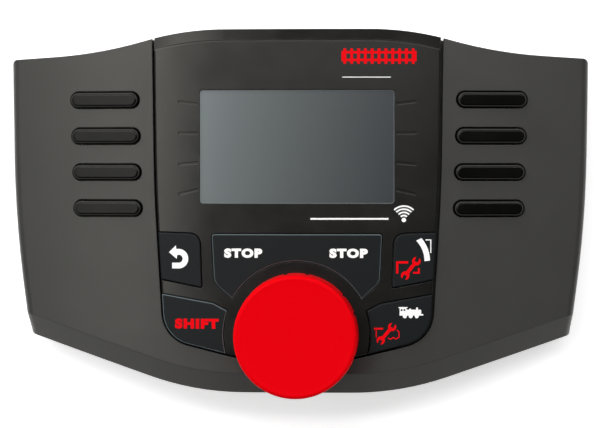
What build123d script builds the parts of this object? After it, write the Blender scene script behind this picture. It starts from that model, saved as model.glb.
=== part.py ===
from build123d import *
import math
import os

# A hand-held wireless controller for a model railway, lying on its back.
# X runs to the right, Y away from the user, Z out of the face.  All in millimetres.
# Sizes below are written from the datum line just under the display; the finished
# pieces are moved so that the origin is under the middle of the whole object.

# ------------------------------------------------------------------ casing sizes
CASE_HALF_W = 78.7          # middle to the outer end of a grip
CASE_TOP = 48.7             # datum line to the far edge
CASE_BOTTOM = -49.6         # datum line to the near edge
CASE_APEX = 25.0            # highest line of the grips' curved face
SIDE_DROP = 9.2             # how much lower that face is at the grips' ends
WALL = 2.0                  # casing wall
PART_Z = 11.0               # where the front and rear shells meet
FOOT_H = 1.0                # rubber feet, so the rear shell's face is at this height
TOP_FLAT = 30.4             # half of the straight far edge
TOP_BEND = 80.0
DIP_IN = 24.7               # far edge's hollow, in from the grip's end
DIP_DROP = 6.4
DIP_BEND = 120.0
SHOULDER_DROP = 7.75        # grip's far corner, below the far edge
WAIST_IN = 0.6
WAIST_Y = -3.0
WAIST_BEND = 300.0
HEEL_IN = 4.8               # grip's near corner, in from its far corner
HEEL_RISE = 15.4            # and above the near edge
BOTTOM_FLAT = 28.0
BOTTOM_BEND = 80.0
SHOULDER_R = 1.6
HEEL_R = 1.2
BEVEL_RUN = 5.6             # sloping facet along the near edge
BEVEL_DROP = 5.0
GRIP_ROUND = 2.5            # round along each grip's outer end
END_ZONE = 12.0             # edges this near a grip's outer end get that round
REAR_FACET = 4.5            # 45 degree facet round the back
GRIP_FLAT = 46.0            # the back is flat this far out, then curves up
GRIP_BACK_RISE = 8.1        # by this much at their ends

# ------------------------------------------------------------------ centre panel
SEAM_TOP_X = 39.2           # panel's opening at the far edge
SEAM_MID_X = 38.8
SEAM_MID_Y = 5.0
SEAM_LOW_X = 36.4
SEAM_LOW_Y = -35.0
SEAM_LOW_R = 9.5
SEAM_END_X = 12.0
SEAM_END_Y = -41.0
SEAM_END_R = 60.0
SEAM_GAP = 0.7
PANEL_RISE = 1.5            # panel stands this much above the grips
PANEL_WALL = 2.0
PANEL_ROUND = 0.5
SKIRT = 1.5                 # panel's rim, and the wall of its opening
LEDGE = 3.2                 # shelf that carries the rim
LEDGE_TOP = 17.9
LEDGE_THICK = 2.0
BROW_RUN = 3.1              # sloping band along the panel's far edge
BROW_DROP = 1.2
BROW_LINE_W = 0.4
BROW_LINE_DEPTH = 0.3

# ------------------------------------------------------------------ display
WINDOW_W = 52.4
WINDOW_H = 30.6
WINDOW_Y = 17.1             # centre
WINDOW_R = 0.9
LENS_SINK = 0.4
LENS_FLANGE = 1.0
LENS_FLANGE_THICK = 0.8
LENS_CLEAR = 0.08
LENS_BOTTOM = 10.0          # below everything, where the lens blocks start
TICK_OUT_X = 32.0           # fine ribs beside the display
TICK_W = 0.7
TICK_DEPTH = 0.25
TICKS = [(28.55, 29.2), (20.7, 20.75), (12.8, 12.3), (5.6, 4.3)]   # inner and outer heights
LCD_MARGIN = 2.6            # glass is this much larger than the window on each side
LCD_THICK = 1.8
LCD_GAP = 1.5               # lens flange to glass, at the middle
LIGHT_THICK = 2.5
LIGHT_IN = 0.4              # light guide, in from the glass's edge
HOLDER_WALL = 1.2
HOLDER_CLEAR = 0.1
HOLDER_RIM = 3.0            # shelf under the light guide
SEAL_W = 0.5
FLEX_HALF_W = 7.0           # display's flat lead
FLEX_THICK = 0.3
FLEX_GAP = 0.05
FLEX_LAP = 0.35
FLEX_BEND = 2.0             # glass's edge to the lead's bend
FLEX_FOOT = 2.9             # and to its end on the board
FLEX_SLOT = 8.0             # half the slot that it leaves the tray by

# ------------------------------------------------------------------ function keys
FKEY_L = 19.0
FKEY_W = 4.2
FKEY_PROUD = 1.3
FKEY_CLEAR = 0.3
FKEY_FLANGE = 1.0
FKEY_LIP = 0.8
FKEY_DEPTH = 3.4
FKEY_ROUND = 0.9
FKEY_IN = 13.2              # seam to the key's centre at the far edge
FKEY_STEP_X = 0.27          # each row sits this much further in
FKEY_Y = 29.8
FKEY_PITCH = 9.77
FKEY_ROWS = 4
FMAT_THICK = 2.0
FMAT_SHEET = 0.8
FMAT_GAP = 0.1              # dome's top to the key
FDOME_L = 10.0
FDOME_W = 3.0
BOARD_THICK = 1.2
BOARD_PAST = 3.4            # a key board reaches this far past the end keys
BOARD_IN = 0.4              # past the keys' ends, on the panel's side
BOARD_OUT = 1.0             # and on the outer side
EAR_HALF_W = 2.6            # ears that take the boards' screws
EAR_L = 4.2
POST_R = 1.9
POST_PAST = 5.3             # screw posts, past the end keys
POST_ASIDE = 4.0
KEY_SCREW_R = 0.8
KEY_SCREW_L = 3.6
KEY_HEAD_R = 1.7
KEY_HEAD_H = 1.0

# ------------------------------------------------------------------ panel keys
PKEY_CLEAR = 0.25
PKEY_PROUD = 0.35
PKEY_ROUND = 0.35
PKEY_BOTTOM = 20.4
PKEY_TRAVEL = 0.8
BACK_KEY = [(37.9, -5.9), (26.1, -6.3), (25.6, -20.8), (36.9, -18.6)]
BACK_KEY_R = [0.5, 3.0, 0.4, 1.2]
SHIFT_KEY = [(39.0, -22.1), (22.5, -25.0), (18.6, -27.1), (18.6, -42.0), (39.0, -42.0)]
SHIFT_KEY_R = [0.4, 4.0, 0.5, 0.4, 0.4]
STOP_KEY = [(22.9, -6.4), (22.2, -19.5), (16.4, -24.4)]
STOP_KEY_R = [0.7, 4.0, 0.4]

# ------------------------------------------------------------------ knob and encoder
KNOB_Y = -33.4
KNOB_R = 16.7
KNOB_DRAFT = 0.3            # the top is this much smaller than the rim
KNOB_RING_GAP = 3.1         # room that the keys leave round the knob
KNOB_GAP = 0.8              # knob's rim above the panel
KNOB_H = 9.4
KNOB_WALL = 2.0
KNOB_CROWN = 2.5
KNOB_EDGE = 1.0
KNOB_GRIPS = 18             # finger grooves round the rim
GRIP_CUT_R = 0.8
GRIP_CUT_DEPTH = 0.35
HUB_R = 5.0
SHAFT_R = 3.0
SHAFT_FLAT = 2.2
RUN_CLEAR = 0.05
BUSH_R = 3.5
ENC_SIDE = 12.0
ENC_H = 4.8
ENC_CORNER = 0.6
ENC_FLOOR = 1.4
ENC_ROOF = 0.4
ENC_BUSH_UP = 1.3           # bush, above the knob's rim
ROTOR_R = 5.0
ROTOR_GAP = 0.2             # rotor to its housing, all round
SHAFT_FOOT = 1.3            # shaft's foot above the board
HUB_UP = 2.0                # hub's lower end, above the knob's rim
DOME_LOW = 0.3
DOME_THICK = 0.25

# ------------------------------------------------------------------ power
CELL_R = 5.25
CELL_L = 43.6
CELL_EDGE = 0.5
CELL_NUB_R = 1.9
CELL_NUB_L = 0.9
CELL_PITCH = 10.9
CELLS = 4
BAY_Y = 20.0
BAY_HALF_L = 25.4
BAY_WALL = 1.2
BAY_CEIL = 14.1
CELL_Z = 8.45
DOOR_HALF_W = 26.9
DOOR_THICK = 1.9
DOOR_NEAR = -2.5
DOOR_CLEAR = 0.15
TONGUE = 1.2
TONGUE_THICK = 0.8
DOOR_RIBS = 5               # thumb ribs
DOOR_RIB_PITCH = 1.9
DOOR_RIB_HALF_L = 8.0
DOOR_RIB_W = 1.0
DOOR_RIB_DEPTH = 0.5
ARROW_HALF_W = 3.2
ARROW_L = 3.5
ARROW_IN = 15.0             # bay's far end to the arrow's foot
ARROW_DEPTH = 0.4
PLATE_THICK = 0.3           # contact plates
PLATE_HALF_H = 4.0
PLATE_PAST = 4.2            # past the end cells' axes
SPRING_R = 2.6
SPRING_WIRE_R = 0.22
SPRING_TURNS = 3.2
SPRING_END = 0.25           # gap at each end of a spring

# ------------------------------------------------------------------ board and screws
PCB_Z = 16.0
PCB_THICK = 1.6
PCB_FAR = 43.0
PCB_MARGIN = 0.6
SCREW_R = 1.2
SCREW_HEAD_R = 2.3
SCREW_HEAD_H = 1.6
SCREW_REACH = 12.0
DRIVE_HALF_W = 0.35         # cross slot
DRIVE_HALF_L = 1.5
DRIVE_DEPTH = 0.9
BOSS_R = 3.2
SCREW_SEAT = 3.0
PANEL_BOSS_R = 2.0
PANEL_BOSSES = [(32.6, 38.0), (32.6, -1.0)]
PANEL_HOLE_UP = 4.5         # screw holes, above the board
BOARD_HEAD_R = 1.8
BOARD_HEAD_H = 1.1
FOOT_R = 4.0
FOOT_EDGE = 0.4
FEET = [(38.0, 34.0), (29.0, -37.0)]

# ------------------------------------------------------------------ parts on the boards
PMAT_FAR = -5.5             # limits of the mat under the panel keys
PMAT_NEAR = -44.5
PMAT_IN = 0.8
PMAT_SHEET = 0.8
PDOME_R = 2.6
PDOME_TOP_R = 1.8
PDOMES = [(30.5, -13.0), (27.0, -30.5), (14.2, -12.5)]
RIBBON_HALF_W = 4.0
RIBBON_THICK = 0.3
RIBBON_DROP = 1.6           # ledge's underside to the ribbon
RIBBON_BENDS = (41.0, 36.5, 33.8, 31.0)   # from the grip inwards
CHIP_EDGE = 0.2
LEAD_REACH = 1.0
LEAD_W = 0.4
LEAD_THICK = 0.25
CHIPS = {                   # centre, width, depth, height and leads a side
    "processor_chip": (0, -14, 10, 10, 1.6, 8),
    "memory_chip": (-3, -25, 5, 6, 1.4, 4),
}
WIRELESS = (-30, -12, -24, -8)            # limits of its board
WIRELESS_THICK = 1.0
SHIELD_H = 2.2
SHIELD_IN = 1.0
SHIELD_R = 0.6
AERIAL_L = 5.0              # end of the board that the shield leaves free
COIL_X = 24.0
COIL_Y = -11.0
COIL_R = 3.2
COIL_CORE_R = 2.3
COIL_H = 3.4
COIL_LIP = 0.7
CAP_X = 17.0
CAP_Y = -8.5
CAP_PITCH = 5.2
CAP_R = 2.0
CAP_H = 5.0
CAP_EDGE = 0.4
CAPS = 3
SOCKET_W = 3.4
SOCKET_HALF_L = 5.0
SOCKET_H = 1.6

# ------------------------------------------------------------------ worked-out places
FACE_R = (CASE_HALF_W ** 2 + SIDE_DROP ** 2) / (2 * SIDE_DROP)
FACE_AXIS_Z = CASE_APEX - FACE_R
GRIP_REACH = CASE_HALF_W - GRIP_FLAT
GRIP_BACK_R = (GRIP_REACH ** 2 + GRIP_BACK_RISE ** 2) / (2 * GRIP_BACK_RISE)
PANEL_APEX = CASE_APEX + PANEL_RISE
KNOB_TOP_R = KNOB_R - KNOB_DRAFT
KNOB_RING = KNOB_R + KNOB_RING_GAP
PANEL_INNER = PANEL_APEX - PANEL_WALL
REAR_Z = FOOT_H
FLOOR_Z = REAR_Z + WALL
PCB_TOP = PCB_Z + PCB_THICK
SKIRT_BOTTOM = LEDGE_TOP + 0.1
LCD_TOP = PANEL_INNER - LENS_FLANGE_THICK - LCD_GAP
KNOB_LOW = PANEL_APEX + KNOB_GAP
KNOB_HIGH = KNOB_LOW + KNOB_H
CASE_SCREWS = [
    (SEAM_TOP_X + 8.0, CASE_TOP - 10.1),
    (CASE_HALF_W - 8.0, -25.0),
    (SEAM_LOW_X + 5.8, CASE_BOTTOM + 13.6),
]
HOME = Pos(0, -(CASE_TOP + min(KNOB_Y - KNOB_R, CASE_BOTTOM)) / 2, 0)
UPWARDS = (Align.CENTER, Align.CENTER, Align.MIN)


# ------------------------------------------------------------------ shapes used everywhere
def both_sides(items):
    """Right-hand points followed by their mirror images, going round the shape."""
    return items + [(-x, y) for x, y in reversed(items)]


def rounded(points, radii):
    """Face inside a closed line whose corners have these radii."""
    return make_face(FilletPolyline(*points, radius=radii, close=True).edges())


def prism(face, low, high):
    """Upright block on this outline between two heights."""
    return extrude(Pos(0, 0, low) * face, amount=high - low)


def barrel(apex):
    """Solid under the curved face that peaks at this height; all such faces share an axis."""
    radius = apex - FACE_AXIS_Z
    return Pos(0, 0, FACE_AXIS_Z) * Rot(90, 0, 0) * Cylinder(radius, 400)


def between(face, low_apex, high_apex, floor=0.0):
    """Plate of this outline between two of the curved faces."""
    return (prism(face, floor, high_apex + 1) & barrel(high_apex)) - barrel(low_apex)


def face_z(x, apex):
    """Height of a curved face at this distance from the middle."""
    radius = apex - FACE_AXIS_Z
    return FACE_AXIS_Z + math.sqrt(radius ** 2 - x ** 2)


def mirror_x(solid):
    return mirror(solid, about=Plane.YZ)


def box_at(x0, x1, y0, y1, z0, z1):
    """Block given by its limits."""
    corner = Pos((x0 + x1) / 2, (y0 + y1) / 2, (z0 + z1) / 2)
    return corner * Box(x1 - x0, y1 - y0, z1 - z0)


def rod(radius, x, y, z0, z1):
    """Upright round bar."""
    return Pos(x, y, (z0 + z1) / 2) * Cylinder(radius, z1 - z0)


def four_ways(points):
    """The same places on the left and on the right."""
    return [(side * x, y) for side in (1, -1) for x, y in points]


# ------------------------------------------------------------------ outlines
def case_points():
    return [
        (TOP_FLAT, CASE_TOP),
        (CASE_HALF_W - DIP_IN, CASE_TOP - DIP_DROP),
        (CASE_HALF_W, CASE_TOP - SHOULDER_DROP),
        (CASE_HALF_W - WAIST_IN, WAIST_Y),
        (CASE_HALF_W - HEEL_IN, CASE_BOTTOM + HEEL_RISE),
        (BOTTOM_FLAT, CASE_BOTTOM),
    ]


def case_face(shoulder=SHOULDER_R, heel=HEEL_R):
    """Plan of the casing."""
    radii = [TOP_BEND, DIP_BEND, shoulder, WAIST_BEND, heel, BOTTOM_BEND]
    return rounded(both_sides(case_points()), radii + radii[::-1])


def seam_face():
    """Plan of the opening that takes the centre panel, open at the far edge."""
    points = [
        (SEAM_TOP_X + 0.3, CASE_TOP + 11.0),
        (SEAM_MID_X, SEAM_MID_Y),
        (SEAM_LOW_X, SEAM_LOW_Y),
        (SEAM_END_X, SEAM_END_Y),
    ]
    radii = [0.0, 400.0, SEAM_LOW_R, SEAM_END_R]
    return rounded(both_sides(points), radii + radii[::-1])


def shrink(face, amount, kind=Kind.ARC):
    return offset(face, -amount, kind=kind) if amount else face


# ------------------------------------------------------------------ casing blocks
def front_block(inset):
    """Everything inside the front shell's outer faces, or inside its wall."""
    sharp = shrink(case_face(0.0, 0.0), inset, Kind.INTERSECTION)
    block = prism(sharp, PART_Z, CASE_APEX + 5) & barrel(CASE_APEX - inset)
    slope = math.hypot(1 / BEVEL_RUN, 1 / BEVEL_DROP)
    run = BEVEL_RUN * (1 + inset * slope - inset / BEVEL_DROP) - inset
    drop = BEVEL_DROP * (1 + inset * slope - inset / BEVEL_RUN) - inset
    heel_y = CASE_BOTTOM + HEEL_RISE
    near = [
        edge for edge in block.edges()
        if edge.center().Y < heel_y and edge.center().Z > PART_Z + 1 and abs((edge % 0.5).X) > 0.5
    ]
    top = block.faces().filter_by(GeomType.CYLINDER).sort_by(Axis.Z)[-1]
    block = chamfer(near, length=run, length2=drop, reference=top)
    ends = [
        edge for edge in block.edges()
        if abs(edge.center().X) > CASE_HALF_W - END_ZONE and edge.center().Z > PART_Z + 1
        and abs((edge % 0.5).Y) > 0.5 and edge.length > GRIP_ROUND
    ]
    block = fillet(ends, GRIP_ROUND - inset if inset else GRIP_ROUND)
    return block & prism(shrink(case_face(), inset), PART_Z, CASE_APEX + 5)


def rear_block(inset):
    """The same for the rear shell."""
    facet = REAR_FACET - inset * (2 - math.sqrt(2))
    sharp = shrink(case_face(0.0, 0.0), inset, Kind.INTERSECTION)
    block = prism(sharp, REAR_Z + inset, PART_Z)
    low = [edge for edge in block.edges() if edge.center().Z < REAR_Z + inset + 0.1]
    block = chamfer(low, length=facet)
    return block & prism(shrink(case_face(), inset), 0, PART_Z) & grip_back(inset)


def grip_back(inset):
    """Block whose underside is flat, then curves up towards the grips' ends."""
    low = REAR_Z + inset
    radius = GRIP_BACK_R - inset
    reach = CASE_HALF_W + 2 - GRIP_FLAT
    rise = radius - math.sqrt(radius ** 2 - reach ** 2)
    half = Line((0, low), (GRIP_FLAT, low))
    middle = (GRIP_FLAT + reach / 2, low + radius - math.sqrt(radius ** 2 - reach ** 2 / 4))
    curve = ThreePointArc((GRIP_FLAT, low), middle, (GRIP_FLAT + reach, low + rise))
    side = Line((GRIP_FLAT + reach, low + rise), (GRIP_FLAT + reach, PART_Z + 1))
    lid = Line((GRIP_FLAT + reach, PART_Z + 1), (0, PART_Z + 1))
    shut = Line((0, PART_Z + 1), (0, low))
    face = make_face([half, curve, side, lid, shut])
    right = extrude(Plane.XZ * face, amount=200, both=True)
    return right + mirror_x(right)


def rear_z(x):
    """Height of the rear shell's outer face at this distance from the middle."""
    out = max(abs(x) - GRIP_FLAT, 0)
    return REAR_Z + GRIP_BACK_R - math.sqrt(GRIP_BACK_R ** 2 - out ** 2)


# ------------------------------------------------------------------ front frame
def front_frame():
    """The two grips and the band that joins them under the panel."""
    opening = seam_face()
    ledge_low = LEDGE_TOP - LEDGE_THICK
    high = CASE_APEX + 5
    room = prism(shrink(case_face(), WALL + 0.3), PART_Z - 1, high)
    cavity = front_block(WALL) - (prism(offset(opening, SKIRT), ledge_low, high) & room)
    for x, y in four_ways(CASE_SCREWS):
        cavity -= rod(BOSS_R, x, y, PART_Z - 1, high)
    shell = front_block(0) - cavity
    shell -= prism(opening, LEDGE_TOP, high)
    shell -= prism(shrink(opening, LEDGE), PART_Z - 1, high)
    shell -= prism(opening, PART_Z - 1, high) - room
    shell -= box_at(-SEAM_END_X, SEAM_END_X, SEAM_END_Y + 0.1, SEAM_END_Y + 6, PART_Z - 1, high)
    for x, y in four_ways(CASE_SCREWS):
        shell -= rod(SCREW_R, x, y, PART_Z - 1, screw_tip(x) + 0.5)
    slot = SlotOverall(FKEY_L + 2 * FKEY_CLEAR, FKEY_W + 2 * FKEY_CLEAR)
    for side in (1, -1):
        for row in range(FKEY_ROWS):
            shell -= function_place(side, row) * extrude(slot, amount=5, both=True)
        for spot in key_board_screw_places(side):
            shell += key_board_post(spot)
    return shell


def key_board_post(spot):
    """Post that a key board is screwed to, from the wall's inner face down to the board."""
    low = -FKEY_DEPTH - FMAT_THICK
    post = Pos(0, 0, (low - WALL / 2) / 2) * Cylinder(POST_R, -WALL / 2 - low)
    hole = Pos(0, 0, low + 1.5) * Cylinder(KEY_SCREW_R, 3.2)
    return spot * (post - hole)


# ------------------------------------------------------------------ centre panel
def panel_plan(extra=0.0):
    return shrink(seam_face(), SEAM_GAP + extra)


def centre_panel():
    """Raised panel with the display window, the keys' openings and a rim all round."""
    plan = panel_plan()
    block = prism(plan, PART_Z, PANEL_APEX + 2) & prism(case_face(), PART_Z, PANEL_APEX + 2)
    block = block & barrel(PANEL_APEX)
    far = [
        edge for edge in block.edges()
        if edge.center().Y > CASE_TOP - 6 and edge.center().Z > PANEL_APEX - 4
        and edge.bounding_box().size.X > 1 and edge.bounding_box().size.Y < 6
    ]
    top = block.faces().filter_by(GeomType.CYLINDER).sort_by(Axis.Z)[-1]
    block = chamfer(far, length=BROW_RUN, length2=BROW_DROP, reference=top)
    rims = [
        edge for edge in block.edges()
        if edge.center().Z > PANEL_APEX - 4 and edge.center().Y < CASE_TOP - 4
        and not (edge.bounding_box().size.X > 20 and edge.center().Y > 0)
    ]
    block = fillet(rims, PANEL_ROUND)
    inner = prism(panel_plan(SKIRT), 0, PANEL_APEX) & barrel(PANEL_INNER)
    inner &= prism(shrink(case_face(), WALL), 0, PANEL_APEX)
    far_zone = box_at(-60, 60, CASE_TOP - BROW_RUN - 2, CASE_TOP + 1, 0, PANEL_INNER - BROW_DROP)
    near_zone = box_at(-60, 60, -60, CASE_TOP - BROW_RUN - 2, 0, PANEL_APEX)
    shell = block - (inner & (far_zone + near_zone))
    shell -= prism(shrink(case_face(), WALL), 0, SKIRT_BOTTOM)
    shell -= box_at(-9, 9, -50, KNOB_Y - 3, 0, PCB_TOP + ENC_H + 0.4)
    for x, y in four_ways(PANEL_BOSSES):
        boss = rod(PANEL_BOSS_R, x, y, PCB_TOP, PANEL_APEX) & barrel(PANEL_APEX - PANEL_WALL / 2)
        shell += boss
        shell -= rod(KEY_SCREW_R, x, y, PCB_TOP - 1, PCB_TOP + PANEL_HOLE_UP)
    shell -= Pos(0, WINDOW_Y, PANEL_APEX) * extrude(window_face(0), amount=9, both=True)
    shell -= brow_line() + tick_cuts()
    for name in PANEL_KEYS:
        cut = prism(key_face(name, PKEY_CLEAR), PKEY_BOTTOM - PKEY_TRAVEL - 0.2, PANEL_APEX + 2)
        shell -= cut
    shell -= rod(BUSH_R + 0.3, 0, KNOB_Y, 20, 40)
    return shell


def window_face(grow):
    return RectangleRounded(WINDOW_W + 2 * grow, WINDOW_H + 2 * grow, WINDOW_R)


def brow_line():
    """Fine groove where the panel's face turns down to its far edge."""
    outer = shrink(case_face(), BROW_RUN - BROW_LINE_W / 2)
    ring = outer - shrink(case_face(), BROW_RUN + BROW_LINE_W / 2)
    band = prism(ring, PANEL_APEX - 8, PANEL_APEX + 1) - barrel(PANEL_APEX - BROW_LINE_DEPTH)
    return band & box_at(-60, 60, CASE_TOP - 12, CASE_TOP, 0, 40)


def tick_cuts():
    """Shallow ribs' grooves each side of the display."""
    start = WINDOW_W / 2 + 0.5
    cuts = []
    for near, far in TICKS:
        low = [(start, near - TICK_W / 2), (TICK_OUT_X, far - TICK_W / 2)]
        high = [(TICK_OUT_X, far + TICK_W / 2), (start, near + TICK_W / 2)]
        face = make_face(Polyline(*low, *high, close=True).edges())
        cut = prism(face, PANEL_APEX - 6, PANEL_APEX + 1) - barrel(PANEL_APEX - TICK_DEPTH)
        cuts += [cut, mirror_x(cut)]
    return sum(cuts[1:], cuts[0])


# ------------------------------------------------------------------ panel keys
def key_outline(name):
    """Plan of a key's opening before it is trimmed by the seam and the knob's ring."""
    if name == "stop_key":
        return rounded(both_sides(STOP_KEY), STOP_KEY_R + STOP_KEY_R[::-1])
    points, radii = (SHIFT_KEY, SHIFT_KEY_R) if name in LOW_KEYS else (BACK_KEY, BACK_KEY_R)
    face = rounded(points, radii)
    return mirror(face, about=Plane.YZ) if name in LEFT_KEYS else face


PANEL_KEYS = ["back_key", "turnout_key", "shift_key", "loco_key", "stop_key"]
LOW_KEYS = ["shift_key", "loco_key"]
LEFT_KEYS = ["back_key", "shift_key"]


def key_face(name, grow):
    """Plan of a panel key, or of its opening when grown by the clearance."""
    face = key_outline(name) & panel_plan() if grow == 0 else key_outline(name)
    ring = Pos(0, KNOB_Y) * Circle(KNOB_RING)
    if name in LOW_KEYS or name == "stop_key":
        face = face - ring
    return offset(face, grow, kind=Kind.ARC) if grow else face


def panel_key(name):
    """Key cap whose top follows the panel's curve and stands a little proud."""
    cap = prism(key_face(name, 0), PKEY_BOTTOM, PANEL_APEX + 2) & barrel(PANEL_APEX + PKEY_PROUD)
    crest = cap.edges().filter_by(lambda edge: edge.center().Z > PANEL_APEX - 2.2)
    return fillet(crest, PKEY_ROUND)


# ------------------------------------------------------------------ function keys
def function_place(side, row):
    """Where a function key meets the curved face, turned square to it."""
    x = SEAM_TOP_X + FKEY_IN - FKEY_STEP_X * row
    tilt = math.degrees(math.asin(x / FACE_R))
    return Location((side * x, FKEY_Y - FKEY_PITCH * row, face_z(x, CASE_APEX)), (0, side * tilt, 0))


def board_place(side):
    """Middle of a key board, taken square to the face between the middle rows."""
    x = SEAM_TOP_X + FKEY_IN - FKEY_STEP_X * (FKEY_ROWS - 1) / 2
    tilt = math.degrees(math.asin(x / FACE_R))
    y = FKEY_Y - FKEY_PITCH * (FKEY_ROWS - 1) / 2
    return Location((side * x, y, face_z(x, CASE_APEX)), (0, side * tilt, 0))


def key_board_screw_places(side):
    reach = FKEY_PITCH * (FKEY_ROWS - 1) / 2 + POST_PAST
    return [board_place(side) * Pos(side * POST_ASIDE, reach, 0), board_place(side) * Pos(0, -reach, 0)]


def function_key(side, row):
    """Long pill-shaped key with lips below that keep it in the grip."""
    cap = extrude(SlotOverall(FKEY_L, FKEY_W), amount=FKEY_PROUD)
    cap = fillet(cap.edges().group_by(Axis.Z)[-1], FKEY_ROUND)
    stem = extrude(SlotOverall(FKEY_L, FKEY_W), amount=-FKEY_DEPTH)
    lip = Pos(0, 0, -FKEY_DEPTH) * Box(FKEY_L - FKEY_W, FKEY_W + 2 * FKEY_FLANGE, FKEY_LIP, align=UPWARDS)
    return function_place(side, row) * (cap + stem + lip)


def key_mat(side):
    """Silicone sheet with a dome under each function key."""
    half = FKEY_PITCH * (FKEY_ROWS - 1) / 2 + FKEY_W / 2
    low = -FKEY_DEPTH - FMAT_THICK
    mat = Pos(0, 0, low) * Box(FKEY_L - 2, 2 * half, FMAT_SHEET, align=UPWARDS)
    rise = FMAT_THICK - FMAT_SHEET - FMAT_GAP
    for row in range(FKEY_ROWS):
        y = FKEY_PITCH * ((FKEY_ROWS - 1) / 2 - row)
        mat += Pos(0, y, low + FMAT_SHEET) * extrude(SlotOverall(FDOME_L, FDOME_W), amount=rise)
    return board_place(side) * mat


def key_board(side):
    """Small tilted board behind one grip's keys."""
    low = -FKEY_DEPTH - FMAT_THICK - BOARD_THICK
    reach = FKEY_PITCH * (FKEY_ROWS - 1) / 2 + BOARD_PAST
    inner = FKEY_L / 2 + BOARD_IN
    outer = FKEY_L / 2 + BOARD_OUT
    x0, x1 = (-inner, outer) if side > 0 else (-outer, inner)
    board = box_at(x0, x1, -reach, reach, low, low + BOARD_THICK)
    ear = side * POST_ASIDE
    board += box_at(ear - EAR_HALF_W, ear + EAR_HALF_W, 0, reach + EAR_L, low, low + BOARD_THICK)
    board += box_at(-EAR_HALF_W, EAR_HALF_W, -reach - EAR_L, 0, low, low + BOARD_THICK)
    board = board_place(side) * board
    for spot in key_board_screw_places(side):
        board -= spot * Pos(0, 0, low) * Cylinder(KEY_SCREW_R + 0.1, 8)
    return board


def key_board_screws():
    low = -FKEY_DEPTH - FMAT_THICK - BOARD_THICK
    screws = []
    for side in (1, -1):
        for spot in key_board_screw_places(side):
            head = Pos(0, 0, low - KEY_HEAD_H) * Cylinder(KEY_HEAD_R, KEY_HEAD_H, align=UPWARDS)
            stem = Pos(0, 0, low) * Cylinder(KEY_SCREW_R, KEY_SCREW_L, align=UPWARDS)
            screws.append(spot * (head + stem))
    return screws


# ------------------------------------------------------------------ rear shell and door
def screw_seat(x):
    return rear_z(x) + SCREW_SEAT


def screw_tip(x):
    return min(screw_seat(x) + SCREW_REACH, face_z(x, CASE_APEX) - WALL - 1.5)


def bay_limits():
    half = CELL_PITCH * CELLS / 2 + 0.4
    return BAY_Y - half, BAY_Y + half


def rear_shell():
    """Back of the casing with the battery bay and the screw posts."""
    shell = rear_block(0) - rear_block(WALL)
    near, far = bay_limits()
    out = BAY_HALF_L + BAY_WALL
    bay = box_at(-out, out, near - BAY_WALL, far + BAY_WALL, FLOOR_Z - 0.5, BAY_CEIL + BAY_WALL)
    rails = DOOR_HALF_W + TONGUE + 0.9
    bay += box_at(-rails, rails, near - BAY_WALL, far + BAY_WALL, FLOOR_Z - 0.5, FLOOR_Z + 1.5)
    shell += bay
    for x, y in four_ways(CASE_SCREWS):
        post = rod(BOSS_R, x, y, REAR_Z, PART_Z)
        shell += post & rear_block(0)
        shell -= rod(SCREW_R + 0.2, x, y, 0, PART_Z + 1)
        shell -= rod(SCREW_HEAD_R + 0.2, x, y, 0, screw_seat(x))
    shell -= box_at(-BAY_HALF_L, BAY_HALF_L, near, far, 0, BAY_CEIL)
    gap = DOOR_CLEAR
    wide = DOOR_HALF_W + gap
    shell -= box_at(-wide, wide, DOOR_NEAR - gap, CASE_TOP + 1, 0, REAR_Z + DOOR_THICK + 0.1)
    wide += TONGUE
    tongue_low = REAR_Z + DOOR_THICK - TONGUE_THICK - gap
    shell -= box_at(-wide, wide, DOOR_NEAR - gap, CASE_TOP + 1, tongue_low, REAR_Z + DOOR_THICK + 0.1)
    return shell


def battery_door():
    """Sliding cover: it follows the casing's back and far facet, and runs in side grooves."""
    high = REAR_Z + DOOR_THICK
    door = rear_block(0) & box_at(-DOOR_HALF_W, DOOR_HALF_W, DOOR_NEAR, CASE_TOP + 1, 0, high)
    reach = DOOR_HALF_W + TONGUE
    far = bay_limits()[1]
    door += box_at(-reach, reach, DOOR_NEAR, far, high - TONGUE_THICK, high)
    for step in range(DOOR_RIBS):
        y = far - DOOR_RIB_W - DOOR_RIB_PITCH * step
        door -= box_at(-DOOR_RIB_HALF_L, DOOR_RIB_HALF_L, y - DOOR_RIB_W, y, 0, REAR_Z + DOOR_RIB_DEPTH)
    foot = far - ARROW_IN
    arrow = Polyline((-ARROW_HALF_W, foot), (ARROW_HALF_W, foot), (0, foot + ARROW_L), close=True)
    door -= prism(make_face(arrow.edges()), 0, REAR_Z + ARROW_DEPTH)
    return door


def case_screws():
    screws = []
    for x, y in four_ways(CASE_SCREWS):
        seat = screw_seat(x)
        head = rod(SCREW_HEAD_R, x, y, seat - SCREW_HEAD_H, seat)
        deep = seat - SCREW_HEAD_H + DRIVE_DEPTH
        drive = box_at(x - DRIVE_HALF_W, x + DRIVE_HALF_W, y - DRIVE_HALF_L, y + DRIVE_HALF_L, 0, deep)
        drive += box_at(x - DRIVE_HALF_L, x + DRIVE_HALF_L, y - DRIVE_HALF_W, y + DRIVE_HALF_W, 0, deep)
        screws.append(head + rod(SCREW_R, x, y, seat - 0.1, screw_tip(x)) - drive)
    return screws


def rubber_feet():
    feet = []
    for x, y in four_ways(FEET):
        foot = rod(FOOT_R, x, y, 0, FOOT_H)
        feet.append(fillet(foot.edges().group_by(Axis.Z)[0], FOOT_EDGE))
    return feet


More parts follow.
